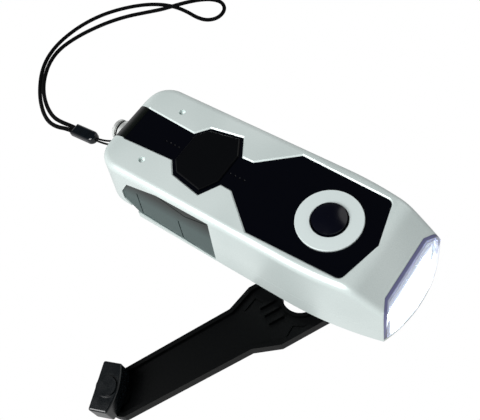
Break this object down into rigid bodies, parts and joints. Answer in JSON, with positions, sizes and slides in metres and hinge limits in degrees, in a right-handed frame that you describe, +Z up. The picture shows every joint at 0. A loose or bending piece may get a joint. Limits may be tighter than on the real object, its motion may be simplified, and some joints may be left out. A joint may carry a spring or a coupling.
{
  "type": "hand crank flashlight",
  "caption": "Flat silver torch with a black top inlay, round push button, clear bowed nose with white lights, fold-out crank with gears and generator inside, and a wrist cord on a tail post",
  "frame": {"origin": "on the crank's axis, in the plane that the hinge knuckle and the folded crank arm rest on", "axes": "+Z up along the crank axis, +X towards the lamp, +Y towards the torch's left side"},
  "size_m": [0.2399, 0.2037, 0.0413],
  "materials": {
    "silver_shell": "cool silver satin lacquer",
    "grip_grey": "dark grey satin soft plastic",
    "gloss_black": "high gloss black",
    "satin_black": "satin black with a fine grain",
    "ring_silver": "brushed silver",
    "button_blue": "very dark blue, glossy dome",
    "board_black": "black moulded plastic",
    "board_green": "green circuit board",
    "clear_lens": "clear moulded plastic",
    "reflector_chrome": "vacuum-plated reflector",
    "led_clear": "water-clear epoxy",
    "crank_black": "black, slightly textured",
    "knob_black": "black, half gloss",
    "steel": "turned steel",
    "gear_white": "natural acetal",
    "magnet_grey": "sintered ferrite",
    "stator_steel": "pressed steel",
    "copper_wire": "enamelled copper",
    "cell_green": "shrink-wrapped cell",
    "post_chrome": "polished",
    "sleeve_black": "glossy black",
    "cord_black": "braided black cord"
  },
  "bodies": {
    "torch": {"top_shell": "silver_shell", "bottom_shell": "silver_shell", "left_grip": "grip_grey", "right_grip": "grip_grey", "inlay_panel": "gloss_black", "hex_pad": "satin_black", "switch_ring": "ring_silver", "push_switch": "board_black", "main_board": "board_green", "lens_cover": "clear_lens", "led_board": "board_green", "reflector": "reflector_chrome", "led_right": "led_clear", "led_middle": "led_clear", "led_left": "led_clear", "hub_washer": "steel", "first_axle": "steel", "second_axle": "steel", "stator_core": "stator_steel", "coil_winding": "copper_wire", "gear_plate": "board_black", "plate_screws": "steel", "body_screws": "steel", "battery_tray": "board_black", "battery_cell_1": "cell_green", "battery_cell_2": "cell_green", "battery_cell_3": "cell_green", "lanyard_post": "post_chrome", "post_nut": "steel", "cord_sleeve": "sleeve_black", "post_cord": "cord_black", "wrist_loop": "cord_black"},
    "button": {"push_button": "button_blue"},
    "crank": {"crank_turret": "crank_black", "drive_gear": "gear_white"},
    "arm": {"crank_arm": "crank_black", "hinge_pin": "steel", "knob_pin": "crank_black"},
    "knob": {"crank_knob": "knob_black"},
    "first_gear": {"first_idler": "gear_white"},
    "second_gear": {"second_idler": "gear_white"},
    "rotor": {"rotor_shaft": "steel", "rotor_magnet": "magnet_grey"}
  },
  "joints": [
    {"name": "button_press", "type": "slide", "parent": "torch", "child": "button", "axis": [0, 0, -1], "range_m": [0, 0.0008], "stiffness_N_per_m": 400},
    {"name": "crank_turn", "type": "hinge", "parent": "torch", "child": "crank", "pos_m": [0, 0, 0.0125], "axis": [0, 0, 1], "continuous": true},
    {"name": "arm_fold", "type": "hinge", "parent": "crank", "child": "arm", "pos_m": [0, 0, 0.0025], "axis": [0.8867, -0.4624, 0], "range_deg": [0, 180]},
    {"name": "knob_spin", "type": "hinge", "parent": "arm", "child": "knob", "pos_m": [-0.04819, -0.09025, 0.01], "axis": [0, 0, 1], "continuous": true},
    {"name": "first_gear_turn", "type": "hinge", "parent": "torch", "child": "first_gear", "pos_m": [-0.0216, 0, 0.018], "axis": [0, 0, 1], "continuous": true},
    {"name": "second_gear_turn", "type": "hinge", "parent": "torch", "child": "second_gear", "pos_m": [-0.03166, 0.00758, 0.021], "axis": [0, 0, 1], "continuous": true},
    {"name": "rotor_turn", "type": "hinge", "parent": "torch", "child": "rotor", "pos_m": [-0.04355, 0.00925, 0.02], "axis": [0, 0, 1], "continuous": true}
  ],
  "couplings": [
    {"joint": "first_gear_turn", "follows": "crank_turn", "ratio": -3.5},
    {"joint": "second_gear_turn", "follows": "crank_turn", "ratio": 11.2},
    {"joint": "rotor_turn", "follows": "crank_turn", "ratio": -33.6}
  ]
}
